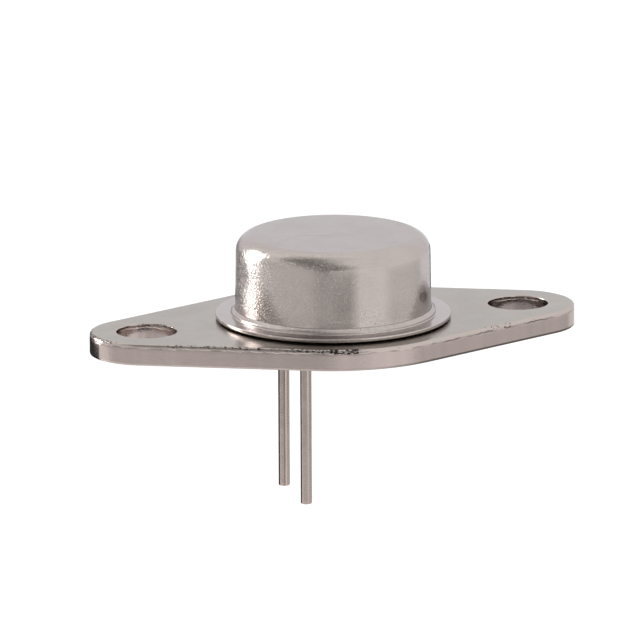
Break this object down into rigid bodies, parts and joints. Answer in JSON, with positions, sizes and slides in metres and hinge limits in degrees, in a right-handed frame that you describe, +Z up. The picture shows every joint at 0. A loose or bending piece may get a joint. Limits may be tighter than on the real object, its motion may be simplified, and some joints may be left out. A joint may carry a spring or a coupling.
{
  "type": "schottky diode",
  "caption": "Schottky diode in a metal can: a round drawn cap welded to a lozenge plate with screw holes, and round leads in glass seals below.",
  "frame": {"origin": "midway between the screw holes, on the plate's underside, which seats on the heat sink", "axes": "+X along the screw holes, away from the leads' end; +Z up through the cap; the leads point to -Z"},
  "size_m": [0.0316, 0.0176, 0.0167],
  "materials": {
    "plate_nickel": "steel with satin nickel plating",
    "cap_nickel": "drawn steel with semi-bright nickel plating",
    "lead_nickel": "drawn iron-nickel wire with nickel plating",
    "seal_glass": "dark grey-green fused sealing glass",
    "spreader_copper": "machined copper",
    "solder": "reflowed high-lead solder",
    "silicon": "polished silicon with metal contact pads",
    "strap_copper": "tinned copper strip"
  },
  "bodies": {
    "root": {"base_plate": "plate_nickel", "cap": "cap_nickel", "anode_lead_left": "lead_nickel", "anode_lead_right": "lead_nickel", "glass_seal_left": "seal_glass", "glass_seal_right": "seal_glass", "heat_spreader": "spreader_copper", "spreader_solder": "solder", "die_solder_left": "solder", "die_solder_right": "solder", "anode_solder_left": "solder", "anode_solder_right": "solder", "post_solder_left": "solder", "post_solder_right": "solder", "die_left": "silicon", "die_right": "silicon", "anode_strap_left": "strap_copper", "anode_strap_right": "strap_copper"}
  },
  "joints": []
}
